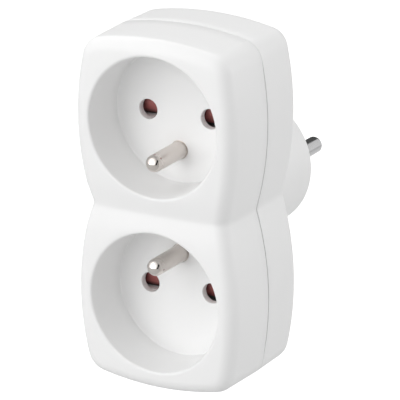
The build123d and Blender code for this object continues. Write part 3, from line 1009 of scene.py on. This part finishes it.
class ADAPTER_OT_shutters(bpy.types.Operator):
    """Dark red sliders behind the contact holes"""

    bl_idname = "adapter.shutters"
    bl_label = "Shutters"

    def execute(self, context):
        socket = context.scene.adapter_socket
        for place in ("upper", "lower"):
            node = f"{place}_shutter"
            bm = copy_of(node)
            bmesh.ops.dissolve_limit(bm, angle_limit=SHUTTER_FLAT, verts=bm.verts, edges=bm.edges)
            closed = [e for e in bm.edges if len(e.link_faces) == 2]
            steep = [e for e in closed if e.calc_face_angle() > SHUTTER_SHARP]
            edges = [e for e in steep if e.calc_length() > SHUTTER_EDGE]
            bmesh.ops.bevel(bm, geom=edges, offset=socket.shutter_round, offset_type="OFFSET", segments=2,
                            profile=0.5, affect="EDGES", material=-1, clamp_overlap=True)
            piece(f"{place}_slider", bm, node, finishes["shutter"], [node])
        return {"FINISHED"}


class ADAPTER_OT_return_springs(bpy.types.Operator):
    """Wire springs over the shutters, carried by the body that the shutters slide in"""

    bl_idname = "adapter.return_springs"
    bl_label = "Return Springs"

    def execute(self, context):
        for joint in frame["joints"]:
            slider = joint["child"]
            node = f"{slider}_springs"
            coils = copy_of(node)
            springs = piece(f"{slider}_coils", coils, joint["parent"], finishes["steel"], [node])
            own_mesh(springs)
        return {"FINISHED"}


class ADAPTER_OT_inner_pieces(bpy.types.Operator):
    """Finishes of the conductors, covers and screws inside"""

    bl_idname = "adapter.inner_pieces"
    bl_label = "Inner Pieces"

    def execute(self, context):
        for node in frame["nodes"]:
            if node.endswith(("_clip", "_bar", "_sleeve", "_rivets")):
                dress(node, finishes["brass"])
            elif node.endswith("_screws"):
                dress(node, finishes["steel"])
            elif node.endswith("_cover"):
                dress(node, finishes["cover"])
        return {"FINISHED"}


class ADAPTER_OT_stage(bpy.types.Operator):
    """Floor, lights and camera"""

    bl_idname = "adapter.stage"
    bl_label = "Stage"

    def light(self, name, place, width, power):
        """A square soft light that looks at the object."""
        data = bpy.data.lights.new(name, "AREA")
        data.shape = "SQUARE"
        data.size = width
        data.energy = power
        lamp = bpy.data.objects.new(name, data)
        lamp.location = place
        lamp.rotation_euler = (AIM - Vector(place)).to_track_quat("-Z", "Y").to_euler()
        bpy.context.scene.collection.objects.link(lamp)

    def sky(self, studio):
        """White light from all round, dark at one place. Reflections also show a soft box and a dark band."""
        world = bpy.data.worlds.new("studio")
        world.use_nodes = True
        tree = world.node_tree
        glow = (studio.sky, studio.sky + studio.softbox)
        bright = spread(tree, toward(tree, SOFTBOX_WAY), glow, SOFTBOX_EDGE, soft=True)
        behind = spread(tree, toward(tree, DARK_WAY), (1, DARK_LIGHT), DARK_EDGE, soft=True)
        aside = calculate(tree, "SUBTRACT", toward(tree, BAND_AXIS), BAND_MIDDLE)
        band = spread(tree, calculate(tree, "ABSOLUTE", aside), (BAND_LIGHT, 1), BAND_EDGE, soft=True)
        beside = spread(tree, toward(tree, BAND_SIDE), (1, 0), BAND_SIDE_EDGE, soft=True)
        banded = calculate(tree, "MULTIPLY", bright, calculate(tree, "MAXIMUM", band, beside))
        ray = tree.nodes.new("ShaderNodeLightPath")
        mirrored = tree.nodes.new("ShaderNodeMix")
        mirrored.inputs["A"].default_value = studio.sky
        tree.links.new(ray.outputs["Is Glossy Ray"], mirrored.inputs["Factor"])
        tree.links.new(banded, mirrored.inputs["B"])
        strength = calculate(tree, "MULTIPLY", mirrored.outputs["Result"], behind)
        backdrop = tree.nodes["Background"]
        backdrop.inputs["Color"].default_value = WHITE
        tree.links.new(strength, backdrop.inputs["Strength"])
        return world

    def floor_paint(self, studio):
        """Pale matt floor with a pool of light painted on it, which glows behind the object."""
        material, tree, bsdf = shader("pale_floor", FLOOR_COLOUR, roughness=0.9)
        tint(tree, bsdf, noise(tree, scale=3, detail=2), FLOOR_COLOUR, change=0.005)
        place = tree.nodes.new("ShaderNodeTexCoord")
        away = tree.nodes.new("ShaderNodeVectorMath")
        away.operation = "DISTANCE"
        away.inputs[1].default_value = (*POOL_PLACE, -studio.floor_drop)
        tree.links.new(place.outputs["Object"], away.inputs[0])
        # Painted light: the floor glows in this pool, though it is no lamp
        pool = spread(tree, away.outputs["Value"], (0, studio.floor_glow), POOL_EDGE, soft=True)
        bsdf.inputs["Emission Color"].default_value = WHITE
        tree.links.new(pool, bsdf.inputs["Emission Strength"])
        return material

    def floor(self, studio):
        """A wide flat floor below the object."""
        bm = bmesh.new()
        place = Matrix.Translation((0, 0, -studio.floor_drop))
        bmesh.ops.create_grid(bm, x_segments=1, y_segments=1, size=FLOOR_HALF, matrix=place)
        mesh = bpy.data.meshes.new("floor")
        bm.to_mesh(mesh)
        bm.free()
        mesh.materials.append(self.floor_paint(studio))
        floor = bpy.data.objects.new("floor", mesh)
        bpy.context.scene.collection.objects.link(floor)

    def camera(self, studio, plug):
        """Camera at the photograph's view."""
        az, el, roll = studio.azimuth, studio.elevation, studio.roll
        back = Vector((math.sin(az) * math.cos(el), -math.cos(az) * math.cos(el), math.sin(el)))
        level = UPRIGHT.cross(back).normalized()
        upward = back.cross(level)
        right = math.cos(roll) * level + math.sin(roll) * upward
        up = math.cos(roll) * upward - math.sin(roll) * level
        turn = Matrix((right, up, back)).transposed()
        rims = Vector((0, -studio.rim_level, -plug.rise))
        place = rims + turn @ Vector((-studio.shift[0], -studio.shift[1], studio.distance))
        data = bpy.data.cameras.new("camera")
        data.sensor_width = FILM_WIDTH
        data.lens = studio.lens
        data.clip_end = VIEW_REACH
        view = bpy.data.objects.new("camera", data)
        view.matrix_world = Matrix.Translation(place) @ turn.to_4x4()
        bpy.context.scene.collection.objects.link(view)
        bpy.context.scene.camera = view

    def execute(self, context):
        scene = context.scene
        studio = scene.adapter_studio
        scene.world = self.sky(studio)
        scene.view_settings.view_transform = "Standard"
        self.floor(studio)
        for name, (place, width) in LAMPS.items():
            self.light(name, place, width, getattr(studio, name))
        self.camera(studio, scene.adapter_plug)
        return {"FINISHED"}


class ADAPTER_PT_panel(bpy.types.Panel):
    """Sizes, finishes and steps of the adapter"""

    bl_label = "Double Socket Adapter"
    bl_idname = "ADAPTER_PT_panel"
    bl_space_type = "VIEW_3D"
    bl_region_type = "UI"
    bl_category = "Adapter"

    def draw(self, context):
        for step in STEPS:
            self.layout.operator(step.bl_idname)
        for name in GROUPS:
            group = getattr(context.scene, name)
            box = self.layout.box()
            box.label(text=group.__class__.__doc__)
            for key in group.__class__.__annotations__:
                box.prop(group, key)


GROUPS = {
    "adapter_body": BodySizes,
    "adapter_socket": SocketSizes,
    "adapter_plug": PlugSizes,
    "adapter_finish": Finish,
    "adapter_studio": Studio,
}
STEPS = (
    ADAPTER_OT_finishes,
    ADAPTER_OT_front_housing,
    ADAPTER_OT_rear_housing,
    ADAPTER_OT_earth_pins,
    ADAPTER_OT_plug_pins,
    ADAPTER_OT_shutters,
    ADAPTER_OT_return_springs,
    ADAPTER_OT_inner_pieces,
    ADAPTER_OT_stage,
)


def register():
    for group in GROUPS.values():
        bpy.utils.register_class(group)
    for step in STEPS:
        bpy.utils.register_class(step)
    bpy.utils.register_class(ADAPTER_PT_panel)
    for name, group in GROUPS.items():
        setattr(bpy.types.Scene, name, PointerProperty(type=group))


def unregister():
    for name in GROUPS:
        delattr(bpy.types.Scene, name)
    bpy.utils.unregister_class(ADAPTER_PT_panel)
    for step in reversed(STEPS):
        bpy.utils.unregister_class(step)
    for group in reversed(list(GROUPS.values())):
        bpy.utils.unregister_class(group)


def main():
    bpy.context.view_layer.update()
    register()
    bpy.ops.adapter.finishes()
    bpy.ops.adapter.front_housing()
    bpy.ops.adapter.rear_housing()
    bpy.ops.adapter.earth_pins()
    bpy.ops.adapter.plug_pins()
    bpy.ops.adapter.shutters()
    bpy.ops.adapter.return_springs()
    bpy.ops.adapter.inner_pieces()
    bpy.ops.adapter.stage()


if __name__ == "__main__":
    main()
